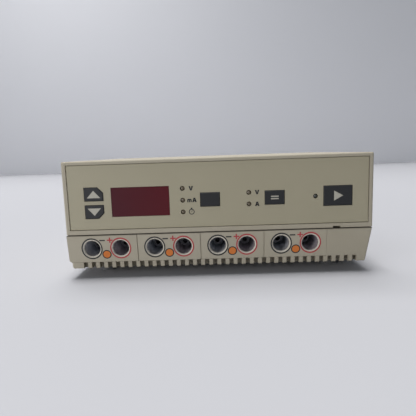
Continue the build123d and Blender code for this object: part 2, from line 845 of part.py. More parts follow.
# Output jacks: an insulating sleeve each, with a bored contact standing on its floor
for sign, places in (("minus", minus_places), ("plus", plus_places)):
    for number, x in enumerate(places, 1):
        with BuildPart() as sleeve:
            with BuildSketch(facing_at(x, sleeve_front_y, jack_z)):
                Circle(sleeve_outer)
            extrude(amount=-sleeve_length)
            with BuildSketch(facing_at(x, rebate_y, jack_z)):
                Circle(sleeve_flange_radius)
            extrude(amount=-sleeve_flange_thickness)
            with BuildSketch(facing_at(x, sleeve_front_y, jack_z)):
                Circle(jack_hole_radius)
            extrude(amount=sleeve_front_y - sleeve_floor_y, mode=Mode.SUBTRACT)
            with BuildSketch(facing_at(x, sleeve_floor_y, jack_z)):
                Circle(contact_pin_radius + seat)
            extrude(amount=-sleeve_floor, mode=Mode.SUBTRACT)
        hand_over(sleeve, "jack_sleeve_" + sign + "_" + str(number))
        with BuildPart() as contact:
            with BuildSketch(facing_at(x, sleeve_floor_y, jack_z)):
                Circle(contact_radius)
            extrude(amount=contact_length)
            with BuildSketch(facing_at(x, sleeve_floor_y - contact_length, jack_z)):
                Circle(contact_bore_radius)
            extrude(amount=-contact_bore_depth, mode=Mode.SUBTRACT)
            with BuildSketch(facing_at(x, sleeve_floor_y, jack_z)):
                Circle(contact_pin_radius)
            extrude(amount=-contact_pin_length)
        hand_over(contact, "jack_contact_" + sign + "_" + str(number))


# Jack board: narrow board across the backs of the sleeves
with BuildPart() as jack_board:
    with BuildSketch(facing(sleeve_back_y)):
        with Locations((window_x, jack_z)):
            Rectangle(plus_places[-1] - minus_places[0] + 2 * sleeve_outer, 2 * sleeve_flange_radius)
        with Locations(*jack_places):
            Circle(contact_pin_radius + seat, mode=Mode.SUBTRACT)
    extrude(amount=-board_thickness)
hand_over(jack_board, "jack_board")


# Main board on its six posts
with BuildPart() as main_board:
    with BuildSketch(Plane.XY.offset(board_post_top)):
        with Locations((0, main_board_y)):
            RectangleRounded(main_board_width, main_board_depth, board_corner)
        with Locations(*board_posts):
            Circle(small_screw_radius + seat, mode=Mode.SUBTRACT)
    extrude(amount=board_thickness)
hand_over(main_board, "main_board")

with BuildPart() as main_board_screws:
    with BuildSketch(Plane.XY.offset(main_board_top)):
        with Locations(*board_posts):
            Circle(small_head_radius)
    extrude(amount=small_head_height)
    with BuildSketch(Plane.XY.offset(main_board_top)):
        with Locations(*board_posts):
            Circle(small_screw_radius)
    extrude(amount=-board_thickness - small_screw_grip)
hand_over(main_board_screws, "main_board_screws")


# Switching transformer: ferrite core with two windows, winding round the middle leg
core_y = main_board_rear - core_from_rear
core_window = (core_width - 2 * core_leg - core_middle_leg) / 2
core_window_x = (core_middle_leg + core_window) / 2
core_window_height = core_height - 2 * core_leg
with BuildPart() as transformer_core:
    with BuildSketch(facing_at(core_x, core_y - core_depth / 2, main_board_top)):
        Rectangle(core_width, core_height, align=(Align.CENTER, Align.MIN))
        with Locations((-core_window_x, core_leg), (core_window_x, core_leg)):
            Rectangle(core_window, core_window_height, align=(Align.CENTER, Align.MIN), mode=Mode.SUBTRACT)
    extrude(amount=-core_depth)
hand_over(transformer_core, "transformer_core")

with BuildPart() as transformer_winding:
    winding_build = 2 * (core_window - winding_gap)
    with BuildSketch(Plane.XY.offset(main_board_top + core_leg)):
        with Locations((core_x, core_y)):
            RectangleRounded(core_middle_leg + winding_build, core_depth + winding_build, winding_corner)
            Rectangle(core_middle_leg + 2 * seat, core_depth + 2 * seat, mode=Mode.SUBTRACT)
    extrude(amount=core_window_height)
hand_over(transformer_winding, "transformer_winding")


def stand_on_board(places, size):
    # A block of width, depth and height standing on the main board at each place
    with BuildPart() as blocks:
        with BuildSketch(Plane.XY.offset(main_board_top)):
            with Locations(*places):
                RectangleRounded(size[0], size[1], part_corner)
        extrude(amount=size[2])
    return blocks


# Reservoir capacitors: two cans with a rounded top
with BuildPart() as reservoir_capacitors:
    reservoir_y = main_board_rear - reservoir_from_rear
    with BuildSketch(Plane.XY.offset(main_board_top)):
        with Locations((reservoir_x, reservoir_y), (reservoir_x, reservoir_y - reservoir_pitch)):
            Circle(reservoir_radius)
    extrude(amount=reservoir_height)
    fillet(reservoir_capacitors.edges().group_by(Axis.Z)[-1], edge_rounding)
hand_over(reservoir_capacitors, "reservoir_capacitors")

# Output capacitors, output relays, bridge rectifier and control chips
film_capacitor_x = film_capacitor_from_side - board_side
output_capacitors = stand_on_board(
    [(film_capacitor_x, main_board_front + film_capacitor_from_front + n * film_capacitor_pitch)
     for n in range(film_capacitor_count)],
    film_capacitor_size,
)
hand_over(output_capacitors, "output_capacitors")

relay_outer_x = board_side - relay_from_side
output_relays = stand_on_board(
    [(side * x, main_board_front + relay_from_front) for side in (-1, 1)
     for x in (relay_outer_x, relay_outer_x - relay_pitch)],
    relay_size,
)
hand_over(output_relays, "output_relays")

bridge_rectifier = stand_on_board([(bridge_x, main_board_rear - bridge_from_rear)], bridge_size)
hand_over(bridge_rectifier, "bridge_rectifier")

with BuildPart() as control_chips:
    chip_y = main_board_front + chip_from_front
    with BuildSketch(Plane.XY.offset(main_board_top)):
        with Locations((chip_x - chip_pitch / 2, chip_y), (chip_x + chip_pitch / 2, chip_y)):
            Rectangle(chip_size[0], chip_size[1])
        with Locations((board_side - small_chip_from_side, chip_y)):
            Rectangle(small_chip_size[0], small_chip_size[1])
    extrude(amount=chip_size[2])
hand_over(control_chips, "control_chips")


# Mains choke: wound ring on a square base
with BuildPart() as mains_choke:
    choke_place = (board_side - choke_from_side, main_board_rear - choke_from_rear)
    with BuildSketch(Plane.XY.offset(main_board_top)):
        with Locations(choke_place):
            RectangleRounded(choke_base, choke_base, board_corner)
    extrude(amount=choke_base_height)
    with BuildSketch(Plane.XY.offset(main_board_top + choke_base_height)):
        with Locations(choke_place):
            Circle(choke_radius)
            Circle(choke_hole_radius, mode=Mode.SUBTRACT)
    extrude(amount=choke_height)
    fillet(mains_choke.edges().filter_by(GeomType.CIRCLE).group_by(Axis.Z)[-1], board_corner)
hand_over(mains_choke, "mains_choke")


# Heat sink with upright fins, and the transistors clamped to its front face
sink_x = sink_from_side - board_side
sink_y = main_board_rear - sink_from_rear
with BuildPart() as heat_sink:
    with BuildSketch(Plane.XY.offset(main_board_top)):
        with Locations((sink_x, sink_y)):
            Rectangle(sink_width, sink_plate)
        with Locations((sink_x, sink_y + (sink_plate + fin_length) / 2)):
            with GridLocations(fin_pitch, 1, fin_count, 1):
                Rectangle(fin_thickness, fin_length)
    extrude(amount=sink_height)
hand_over(heat_sink, "heat_sink")

with BuildPart() as power_transistors:
    transistor_width, transistor_depth, transistor_height = transistor_size
    transistor_front_y = sink_y - sink_plate / 2 - transistor_depth
    transistor_xs = spread(sink_x, transistor_pitch, transistor_count)
    with BuildSketch(facing(transistor_front_y)):
        with Locations(*[(x, main_board_top + transistor_lift) for x in transistor_xs]):
            Rectangle(transistor_width, transistor_height, align=(Align.CENTER, Align.MIN))
    extrude(amount=-transistor_depth)
    with BuildSketch(Plane.XY.offset(main_board_top)):
        with Locations(*[(x, transistor_front_y + transistor_depth / 2) for x in transistor_xs]):
            with GridLocations(lead_pitch, 1, 3, 1):
                Rectangle(leg_width, leg_thickness)
    extrude(amount=transistor_lift)
hand_over(power_transistors, "power_transistors")


def flat_cable(name, x, width, header_y, header_z, header_depth, foot_z, bend):
    # A header on the upright board, the cable back from it and down, and a header on the main board
    header_back_y = header_y + header_depth
    foot_y = main_board_front + header_behind_edge
    with BuildPart() as cable:
        with BuildLine(Plane.YZ.offset(x)) as route:
            FilletPolyline(
                (header_back_y, header_z),
                (foot_y, header_z),
                (foot_y, foot_z),
                radius=bend,
            )
        with BuildSketch(Plane(origin=route.line @ 0, x_dir=(1, 0, 0), z_dir=route.line % 0)):
            Rectangle(width, ribbon_thickness)
        sweep(path=route.line)
        with BuildSketch(facing_at(x, header_y, header_z)):
            Rectangle(width + 2 * header_margin, header_height)
        extrude(amount=-header_depth)
        with BuildSketch(Plane.XY.offset(main_board_top)):
            with Locations((x, foot_y)):
                Rectangle(width + 2 * header_margin, header_height)
        extrude(amount=foot_z - main_board_top)
    hand_over(cable, name)


flat_cable("front_ribbon", front_ribbon_x, front_ribbon_width, front_board_back,
           display_z - front_header_up, front_header_depth,
           main_board_top + front_ribbon_above_board, front_ribbon_bend)
flat_cable("jack_ribbon", minus_places[1] + jack_pair_spacing / 2, jack_ribbon_width,
           sleeve_back_y + board_thickness, jack_z + jack_header_above_middle, jack_header_depth,
           main_board_top + jack_ribbon_above_board, jack_ribbon_bend)


# Rear panel: plate behind the rear window, with vents and two cut-outs
inlet_x = case_width / 2 - inlet_from_right
inlet_z = floor_top_z + inlet_above_floor
inlet_drawer_z = inlet_z - drawer_drop
inlet_body_top = inlet_z + socket_height / 2 + inlet_roof
inlet_body_bottom = inlet_drawer_z - drawer_height / 2 - wall / 2
inlet_body_height = inlet_body_top - inlet_body_bottom
inlet_body_z = (inlet_body_top + inlet_body_bottom) / 2
inlet_screw_x = inlet_flange_width / 2 - inlet_screw_inset
inlet_screw_places = [(inlet_x - inlet_screw_x, inlet_z), (inlet_x + inlet_screw_x, inlet_z)]
switch_x = inlet_x - switch_from_inlet
switch_body_width = mains_switch_width - 2 * mains_switch_ledge
switch_body_height = mains_switch_height - 2 * mains_switch_ledge
with BuildPart() as rear_panel:
    rear_panel_top = top_z - wall - rear_panel_top_gap
    rear_panel_z = (rear_panel_top + floor_top_z) / 2
    with BuildSketch(facing(rear_panel_front_y)):
        with Locations((0, rear_panel_z)):
            Rectangle(rear_window_width + 2 * rear_panel_overlap, rear_panel_top - floor_top_z)
        with Locations((inlet_x, inlet_body_z)):
            Rectangle(inlet_body_width + 2 * seat, inlet_body_height + 2 * seat, mode=Mode.SUBTRACT)
        with Locations((switch_x, inlet_z)):
            Rectangle(switch_body_width + 2 * seat, switch_body_height + 2 * seat, mode=Mode.SUBTRACT)
        with Locations(*inlet_screw_places):
            Circle(screw_radius + seat, mode=Mode.SUBTRACT)
        with Locations((vent_from_left - case_width / 2, rear_panel_z)):
            with GridLocations(vent_pitch, 1, vent_count, 1):
                SlotOverall(vent_length, vent_width, rotation=90, mode=Mode.SUBTRACT)
    extrude(amount=-rear_panel_thickness)
hand_over(rear_panel, "rear_panel")


# Mains inlet with the socket above and the fuse drawer slot below
inlet_front_y = rear_panel_y + inlet_flange_thickness
inlet_back_y = rear_panel_y - inlet_body_depth
with BuildPart() as mains_inlet:
    with BuildSketch(facing_at(inlet_x, inlet_front_y, inlet_body_z)):
        RectangleRounded(inlet_flange_width, inlet_body_height + 2 * inlet_flange_margin, inlet_flange_corner)
    extrude(amount=inlet_flange_thickness)
    with BuildSketch(facing_at(inlet_x, rear_panel_y, inlet_body_z)):
        Rectangle(inlet_body_width, inlet_body_height)
    extrude(amount=inlet_body_depth)
    with BuildSketch(facing_at(inlet_x, inlet_front_y, inlet_z)):
        half_socket = socket_width / 2
        socket_top = socket_height / 2
        Polygon(
            (-half_socket, -socket_top),
            (half_socket, -socket_top),
            (half_socket, socket_top - socket_corner),
            (half_socket - socket_corner, socket_top),
            (socket_corner - half_socket, socket_top),
            (-half_socket, socket_top - socket_corner),
            align=None,
        )
    extrude(amount=socket_depth, mode=Mode.SUBTRACT)
    with BuildSketch(facing_at(inlet_x, inlet_front_y, inlet_drawer_z)):
        Rectangle(drawer_width, drawer_height)
    extrude(amount=drawer_depth + drawer_spare_depth, mode=Mode.SUBTRACT)
    with BuildSketch(facing(inlet_front_y)):
        with Locations(*inlet_screw_places):
            Circle(screw_radius + seat)
    extrude(amount=inlet_flange_thickness, mode=Mode.SUBTRACT)
hand_over(mains_inlet, "mains_inlet")


# Blades of the inlet: line and neutral at the sides, earth between and above them
with BuildPart() as inlet_blades:
    with BuildSketch(facing_at(inlet_x, inlet_front_y - socket_depth, inlet_z)):
        side_blades = [(x, -blade_offset_z) for x in (-blade_offset_x, blade_offset_x)]
        with Locations(*side_blades, (0, blade_offset_z)):
            Rectangle(blade_width, blade_height)
    extrude(amount=-blade_length)
    chamfer(inlet_blades.edges().group_by(Axis.Y)[-1], blade_tip)
hand_over(inlet_blades, "inlet_blades")

with BuildPart() as inlet_screws:
    with BuildSketch(facing(rear_panel_front_y)):
        with Locations(*inlet_screw_places):
            RegularPolygon(screw_head_radius, 6)
    extrude(amount=screw_head_height)
    with BuildSketch(facing(rear_panel_front_y)):
        with Locations(*inlet_screw_places):
            Circle(screw_radius)
    extrude(amount=rear_panel_front_y - inlet_front_y)
hand_over(inlet_screws, "inlet_screws")


# Fuse drawer with two fuses lying across it
tray_width = drawer_width - 2 * slide_gap
tray_height = drawer_height - 2 * slide_gap
tray_top_z = inlet_drawer_z + tray_height / 2
drawer_front_y = inlet_front_y + drawer_lip
fuse_ys = [inlet_front_y - fuse_depth, inlet_front_y - fuse_depth - fuse_pitch]
with BuildPart() as fuse_drawer:
    with BuildSketch(facing_at(inlet_x, drawer_front_y, inlet_drawer_z)):
        Rectangle(tray_width, tray_height)
    extrude(amount=drawer_lip + drawer_depth)
    with BuildSketch(Plane.XY.offset(tray_top_z)):
        with Locations(*[(inlet_x, y) for y in fuse_ys]):
            Rectangle(fuse_length + 2 * seat, 2 * (fuse_radius + seat))
    extrude(amount=-(2 * fuse_radius + fuse_sink), mode=Mode.SUBTRACT)
hand_over(fuse_drawer, "fuse_drawer")

with BuildPart() as fuses:
    with BuildSketch(Plane.YZ.offset(inlet_x - fuse_length / 2)):
        with Locations(*[(y, tray_top_z - fuse_sink - fuse_radius) for y in fuse_ys]):
            Circle(fuse_radius)
    extrude(amount=fuse_length)
hand_over(fuses, "fuses")


# Mains switch: housing in the rear panel and the rocker on its pivot
switch_face_y = rear_panel_y + mains_switch_flange
pivot_y = switch_face_y - rocker_pivot_setback
rocker_half = mains_switch_height / 2 - switch_bezel - rocker_gap
rocker_width = mains_switch_width - 2 * switch_bezel - 2 * rocker_gap
pivot_reach = switch_body_width - 2 * switch_side_wall
with BuildPart() as switch_housing:
    with BuildSketch(facing_at(switch_x, switch_face_y, inlet_z)):
        RectangleRounded(mains_switch_width, mains_switch_height, mains_switch_corner)
    extrude(amount=mains_switch_flange)
    with BuildSketch(facing_at(switch_x, rear_panel_y, inlet_z)):
        Rectangle(switch_body_width, switch_body_height)
    extrude(amount=mains_switch_depth)
    with BuildSketch(facing_at(switch_x, switch_face_y, inlet_z)):
        Rectangle(mains_switch_width - 2 * switch_bezel, mains_switch_height - 2 * switch_bezel)
    extrude(amount=rocker_pivot_setback + well_depth, mode=Mode.SUBTRACT)
    with BuildSketch(Plane.YZ.offset(switch_x - pivot_reach / 2)):
        with Locations((pivot_y, inlet_z)):
            Circle(rocker_pivot_radius + rocker_pivot_play)
    extrude(amount=pivot_reach, mode=Mode.SUBTRACT)
hand_over(switch_housing, "switch_housing")

with BuildPart() as power_rocker:
    with BuildSketch(Plane(
        origin=(switch_x - rocker_width / 2, pivot_y, inlet_z),
        x_dir=(0, cos(radians(rocker_tilt)), -sin(radians(rocker_tilt))),
        z_dir=(1, 0, 0),
    )):
        Polygon(
            (rocker_shoulder, rocker_half),
            (rocker_crown, 0),
            (rocker_shoulder, -rocker_half),
            (-rocker_belly, rocker_taper - rocker_half),
            (-rocker_belly, rocker_half - rocker_taper),
            align=None,
        )
    extrude(amount=rocker_width)
    with BuildSketch(Plane.YZ.offset(switch_x - pivot_reach / 2 + slide_gap)):
        with Locations((pivot_y, inlet_z)):
            Circle(rocker_pivot_radius)
    extrude(amount=pivot_reach - 2 * slide_gap)
hand_over(power_rocker, "power_rocker")


def mains_lead(start, reach):
    # Round lead that runs forward from a tag, bends and drops to the main board
    x, y, z = start
    with BuildPart() as wire:
        with BuildLine() as route:
            FilletPolyline(start, (x, y - reach, z), (x, y - reach, main_board_top), radius=mains_lead_bend)
        with BuildSketch(Plane(origin=start, z_dir=route.line % 0)):
            Circle(mains_lead_radius)
        sweep(path=route.line)
    return wire.part


# Mains leads from the inlet and the switch down to the main board
with BuildPart() as mains_leads:
    for lead_x in (inlet_x - blade_offset_x, inlet_x + blade_offset_x):
        add(mains_lead((lead_x, inlet_back_y, inlet_z), mains_lead_reach))
    for offset in (-switch_lead_offset, switch_lead_offset):
        tag = (switch_x, rear_panel_y - mains_switch_depth, inlet_z + offset)
        add(mains_lead(tag, switch_lead_reach + offset))
hand_over(mains_leads, "mains_leads")


# Rubber feet with plugs that press into the floor
with BuildPart() as rubber_feet:
    with Locations(*[(x, y, 0) for x, y in foot_places]):
        Cone(foot_base_radius, foot_radius, floor_z, align=(Align.CENTER, Align.CENTER, Align.MIN))
    with BuildSketch(Plane.XY.offset(floor_z)):
        with Locations(*foot_places):
            Circle(foot_plug_radius)
    extrude(amount=floor_thickness)
hand_over(rubber_feet, "rubber_feet")


# Case screws, up through the tray into the bosses of the cover
with BuildPart() as case_screws:
    with BuildSketch(Plane.XY.offset(screw_seat_z)):
        with Locations(*boss_places):
            Circle(screw_head_radius)
    extrude(amount=-screw_head_height)
    with BuildSketch(Plane.XY.offset(screw_seat_z)):
        with Locations(*boss_places):
            Circle(screw_radius)
    extrude(amount=seam_z + screw_grip - screw_seat_z)
    with BuildSketch(Plane.XY.offset(screw_seat_z - screw_head_height)):
        with Locations(*boss_places):
            Rectangle(drive_slot_length, drive_slot_width)
            Rectangle(drive_slot_width, drive_slot_length)
    extrude(amount=drive_slot_depth, mode=Mode.SUBTRACT)
hand_over(case_screws, "case_screws")
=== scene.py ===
import json
from math import cos, pi, radians, sin

import bmesh
import bpy
from mathutils import Matrix, Vector


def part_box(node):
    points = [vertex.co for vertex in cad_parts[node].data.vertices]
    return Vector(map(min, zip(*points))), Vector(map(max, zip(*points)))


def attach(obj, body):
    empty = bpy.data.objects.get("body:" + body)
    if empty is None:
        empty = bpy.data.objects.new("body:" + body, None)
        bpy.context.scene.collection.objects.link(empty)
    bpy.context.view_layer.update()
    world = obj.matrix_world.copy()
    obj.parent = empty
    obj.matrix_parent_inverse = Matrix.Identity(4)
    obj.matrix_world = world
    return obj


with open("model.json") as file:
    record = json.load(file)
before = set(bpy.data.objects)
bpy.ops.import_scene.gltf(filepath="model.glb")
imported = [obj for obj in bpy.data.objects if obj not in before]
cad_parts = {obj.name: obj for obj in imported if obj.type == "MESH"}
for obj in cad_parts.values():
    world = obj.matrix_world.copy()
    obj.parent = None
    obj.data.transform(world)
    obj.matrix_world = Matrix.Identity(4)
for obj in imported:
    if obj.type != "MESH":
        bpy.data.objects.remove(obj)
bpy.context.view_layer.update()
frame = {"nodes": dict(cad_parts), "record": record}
nodes = frame["nodes"]


# Base tray: the lower half of the case, injection-moulded in beige ABS with a fine
# spark-eroded grain. Patches of dust and painted shade darken it along the seam above it,
# painted shade darkens the slots of its comb and the lips of the seam, and painted light
# lightens the left wall of the bezel.
def colour(red, green, blue):
    # An sRGB colour, 0 to 255, as the linear colour that a shader takes
    def linear(value):
        value = value / 255
        return value / 12.92 if value <= 0.04045 else ((value + 0.055) / 1.055) ** 2.4
    return (linear(red), linear(green), linear(blue), 1.0)


class Signal:
    # A socket of a finish. Expressions on signals add the Math nodes that work them out.
    def __init__(self, finish, socket):
        self.finish = finish
        self.socket = socket

    def __add__(self, other):
        return self.finish.math("ADD", self, other)

    def __radd__(self, other):
        return self.finish.math("ADD", other, self)

    def __sub__(self, other):
        return self.finish.math("SUBTRACT", self, other)

    def __rsub__(self, other):
        return self.finish.math("SUBTRACT", other, self)

    def __mul__(self, other):
        return self.finish.math("MULTIPLY", self, other)

    def __rmul__(self, other):
        return self.finish.math("MULTIPLY", other, self)

    def __truediv__(self, other):
        return self.finish.math("DIVIDE", self, other)

    def __pow__(self, other):
        return self.finish.math("POWER", self, other)

    def __abs__(self):
        return self.finish.math("ABSOLUTE", self)

    def __gt__(self, other):
        return self.finish.math("GREATER_THAN", self, other)

    def __lt__(self, other):
        return self.finish.math("LESS_THAN", self, other)

    def clamp(self):
        return self.finish.math("ADD", self, 0.0, clamp=True)


class Finish:
    # A material whose shader nodes are added by name
    def __init__(self, name, **constants):
        self.material = bpy.data.materials.new(name)
        self.material.use_nodes = True
        self.tree = self.material.node_tree
        self.shader = self.tree.nodes["Principled BSDF"]
        self.place = self.node("ShaderNodeTexCoord", {}, {}, "Object")
        self.surface(**constants)

    def node(self, kind, settings, sockets, output=0):
        node = self.tree.nodes.new(kind)
        for key, value in settings.items():
            setattr(node, key, value)
        for key, value in sockets.items():
            self.feed(node.inputs[key], value)
        return Signal(self, node.outputs[output])

    def feed(self, socket, value):
        if isinstance(value, Signal):
            self.tree.links.new(value.socket, socket)
        else:
            socket.default_value = value

    def surface(self, **values):
        for socket, value in values.items():
            self.feed(self.shader.inputs[socket.replace("_", " ")], value)

    def math(self, operation, *values, clamp=False):
        settings = {"operation": operation, "use_clamp": clamp}
        return self.node("ShaderNodeMath", settings, dict(enumerate(values)))

    def noise(self, scale, detail=2.0):
        sockets = {"Vector": self.place, "Scale": scale, "Detail": detail}
        return self.node("ShaderNodeTexNoise", {}, sockets)

    def mix_colours(self, factor, first, second):
        # Colour sockets of the Mix node stand after its float and vector ones
        return self.node("ShaderNodeMix", {"data_type": "RGBA"}, {0: factor, 6: first, 7: second}, 2)

    def coated(self, base, *coats):
        # A colour with further ones over it, each by an amount of its own
        for amount, coat in coats:
            base = self.mix_colours(amount, base, coat)
        return base

    def bump(self, height, strength, distance):
        sockets = {"Height": height, "Strength": strength, "Distance": distance}
        return self.node("ShaderNodeBump", {}, sockets)

    def axis(self, name):
        return self.node("ShaderNodeSeparateXYZ", {}, {"Vector": self.place}, name)


def dress(finish, *names):
    for name in names:
        for slot in nodes[name].material_slots:
            slot.material = finish.material


def moulded(name, base, shade, roughness, grain_scale, grain_depth, **constants):
    # Moulded plastic: uneven tone over a hand's width, and a fine grain
    tone_scale = 14.0
    roughness_spread = 0.08
    grain_strength = 0.35
    finish = Finish(name, **constants)
    unevenness = finish.noise(tone_scale, detail=3.0)
    finish.tone = finish.mix_colours(unevenness, base, shade)
    finish.surface(
        Base_Color=finish.tone,
        Roughness=roughness + roughness_spread * (unevenness - 0.5),
        Normal=finish.bump(finish.noise(grain_scale), grain_strength, grain_depth))
    return finish


def beige_plastic(name, base, shade):
    # The plastic of tray, cover and jack panel, which differ a little in tone
    return moulded(
        name, base, shade,
        roughness=0.6, grain_scale=2600.0, grain_depth=0.00012, Specular_IOR_Level=0.3)


tray_low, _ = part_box("base_tray")
jack_low, jack_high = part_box("jack_panel")
cover_low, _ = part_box("top_cover")
seam_middle = (jack_high.z + cover_low.z) / 2
seam_dust_and_shade_reach = 0.0016
seam_dust_and_shade_strength = 0.5
seam_dust_and_shade_colour = colour(104, 98, 84)
patch_scale = 90.0
patch_contrast = 1.8
patch_threshold = 0.4
lip_shade_reach = 0.0004
lip_shade_strength = 0.6
lip_shade_colour = colour(72, 66, 58)
chin_rake = 0.0034
comb_top = 0.0131
comb_half = 0.1072
comb_depth = 0.0100
comb_shade_start = 0.0003
comb_shade_fade = 0.0012
comb_shade_strength = 0.4
comb_shade_colour = colour(98, 91, 78)
bezel_side = 0.0031
bezel_depth = 0.0028
bezel_light_colour = colour(226, 218, 198)
skin = 0.0001
case_plastic = beige_plastic("case_plastic", colour(170, 163, 148), colour(161, 153, 134))
across, inward, height = (case_plastic.axis(name) for name in "XYZ")
patches = (case_plastic.noise(patch_scale, detail=3.0) * patch_contrast - patch_threshold).clamp()
# Patches of dust and painted shade darken the plastic along the seam between tray and cover
seam_dust_and_shade = (1 - abs(height - seam_middle) / seam_dust_and_shade_reach).clamp() * patches
behind_chin = inward - (tray_low.y + chin_rake * (jack_high.z - height) / (jack_high.z - tray_low.z))
in_comb = (height < comb_top) * (abs(across) < comb_half) * (inward < jack_low.y + comb_depth)
# Painted shade on the back walls of the slots of the comb, fading in from their front
comb_painted_shade = ((behind_chin - comb_shade_start) / comb_shade_fade).clamp() * in_comb
# Painted shade on the lip of the tray under the seam
tray_lip_shade = (height > jack_high.z - lip_shade_reach) * (height < cover_low.z)
# Painted light: a pale colour on the left wall of the bezel lightens the left seam of the panel
left_wall = abs(across - (cover_low.x + bezel_side)) < skin
bezel_painted_light = left_wall * (inward > cover_low.y + skin) * (inward < cover_low.y + bezel_depth)
case_plastic.surface(Base_Color=case_plastic.coated(
    case_plastic.tone,
    (seam_dust_and_shade * seam_dust_and_shade_strength, seam_dust_and_shade_colour),
    (comb_painted_shade * comb_shade_strength, comb_shade_colour),
    (tray_lip_shade * lip_shade_strength, lip_shade_colour),
    (bezel_painted_light, bezel_light_colour)))
dress(case_plastic, "base_tray")


# Rubber feet: four grey moulded feet, their plugs pressed into holes in the floor of the
# tray. They are set back far enough to stay in the shadow under the case.
foot_rubber = moulded(
    "foot_rubber", colour(100, 100, 101), colour(89, 89, 89),
    roughness=0.85, grain_scale=1800.0, grain_depth=0.00010)
dress(foot_rubber, "rubber_feet")


# Main board, jack board and front board: fibreglass laminate under green solder mask, with
# copper tracks that show as lighter lines. Screws hold the main and the front board on posts,
# and the pins of the jacks hold the jack board.
laminate_scale = 260.0
track_sharpness = 9.0
track_level = 2.2
mask_roughness = 0.42
track_roughness = 0.1
track_relief = 0.4
copper_thickness = 0.00005
board_laminate = Finish("board_laminate")
cells = board_laminate.node(
    "ShaderNodeTexVoronoi", {"feature": "F1", "distance": "CHEBYCHEV"},
    {"Vector": board_laminate.place, "Scale": laminate_scale})
track = (cells * track_sharpness - track_level).clamp()
board_laminate.surface(
    Base_Color=board_laminate.mix_colours(track, colour(22, 74, 44), colour(36, 96, 58)),
    Roughness=mask_roughness + track_roughness * track,
    Normal=board_laminate.bump(track, track_relief, copper_thickness))
dress(board_laminate, "main_board", "jack_board", "front_board")


# Transformer and output capacitors: a core of grey sintered ferrite round a winding under
# yellow polyester tape, and film capacitors wrapped in the same tape. All of them are
# soldered to the main board.
ferrite = moulded(
    "ferrite", colour(52, 52, 54), colour(66, 66, 68),
    roughness=0.6, grain_scale=3000.0, grain_depth=0.00010)
dress(ferrite, "transformer_core")
winding_low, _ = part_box("transformer_winding")
tape_width = 0.0065
lap_share = 0.06
lap_strength = 0.5
winding_tape = moulded(
    "winding_tape", colour(186, 158, 52), colour(172, 142, 42),
    roughness=0.35, grain_scale=400.0, grain_depth=0.00010)
along_tape = winding_tape.math("FRACT", (winding_tape.axis("Z") - winding_low.z) / tape_width)
tape_lap = along_tape > 1 - lap_share
winding_tape.surface(
    Base_Color=winding_tape.coated(winding_tape.tone, (tape_lap * lap_strength, colour(132, 104, 28))))
dress(winding_tape, "transformer_winding", "output_capacitors")


# Reservoir capacitors: two aluminium cans in dark blue shrink sleeve, which leaves the middle
# of the top bare. A pale stripe down the side marks the negative pin.
def middle(node):
    low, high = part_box(node)
    return (low + high) / 2


cans_low, cans_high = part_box("reservoir_capacitors")
can_radius = (cans_high.x - cans_low.x) / 2
sleeve_fold = 0.0022
bare_radius = can_radius - sleeve_fold
bare_depth = 0.0010
stripe_half = 0.0035
capacitor_sleeve = moulded(
    "capacitor_sleeve", colour(30, 42, 66), colour(24, 34, 56),
    roughness=0.3, grain_scale=600.0, grain_depth=0.00004)
can_x = capacitor_sleeve.axis("X") - middle("reservoir_capacitors").x
front_can = abs(capacitor_sleeve.axis("Y") - (cans_low.y + can_radius))
back_can = abs(capacitor_sleeve.axis("Y") - (cans_high.y - can_radius))
can_y = capacitor_sleeve.math("MINIMUM", front_can, back_can)
from_axis = (can_x * can_x + can_y * can_y) ** 0.5
bare_top = (capacitor_sleeve.axis("Z") > cans_high.z - bare_depth) * (from_axis < bare_radius)
stripe = (can_x > 0) * (can_y < stripe_half) * (from_axis > bare_radius)
capacitor_sleeve.surface(
    Base_Color=capacitor_sleeve.coated(
        capacitor_sleeve.tone, (stripe, colour(176, 180, 186)), (bare_top, colour(196, 197, 199))),
    Metallic=bare_top)
dress(capacitor_sleeve, "reservoir_capacitors")


# Relays, rectifier, chips, display block, switch bodies and spacers: small black mouldings
# with a satin face, in thermoplastic or epoxy. All but the spacers, which carry the lamps, are
# soldered to the boards.
moulding_black = colour(30, 30, 31)
black_plastic = moulded(
    "black_plastic", moulding_black, colour(38, 38, 38),
    roughness=0.5, grain_scale=2200.0, grain_depth=0.00008)
dress(black_plastic, "output_relays", "bridge_rectifier", "control_chips", "display_module", "key_switches",
      "lamp_spacers")


# Mains choke: enamelled copper wire wound round a ring core on a black base. The turns run
# through the hole and show as ridges all round, with painted shade in the grooves between them.
choke_turns = 46
choke_base_height = 0.0020
ridge_height = 0.0004
ridge_strength = 0.8
enamel_metallic = 0.6
choke_copper = moulded(
    "choke_copper", colour(150, 84, 42), colour(136, 72, 34),
    roughness=0.3, grain_scale=900.0, grain_depth=0.00004)
choke_x = choke_copper.axis("X") - middle("mains_choke").x
choke_y = choke_copper.axis("Y") - middle("mains_choke").y
around = choke_copper.math("ARCTAN2", choke_y, choke_x)
ridges = choke_copper.math("COSINE", around * choke_turns) * 0.5 + 0.5
wound = choke_copper.axis("Z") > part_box("mains_choke")[0].z + choke_base_height
# Painted shade: the wire is dark brown in the grooves between the turns
wire_with_gap_shade = choke_copper.mix_colours(ridges, colour(70, 36, 18), choke_copper.tone)
choke_copper.surface(
    Base_Color=choke_copper.mix_colours(wound, moulding_black, wire_with_gap_shade),
    Metallic=wound * enamel_metallic,
    Normal=choke_copper.bump(ridges * wound, ridge_strength, ridge_height))
dress(choke_copper, "mains_choke")


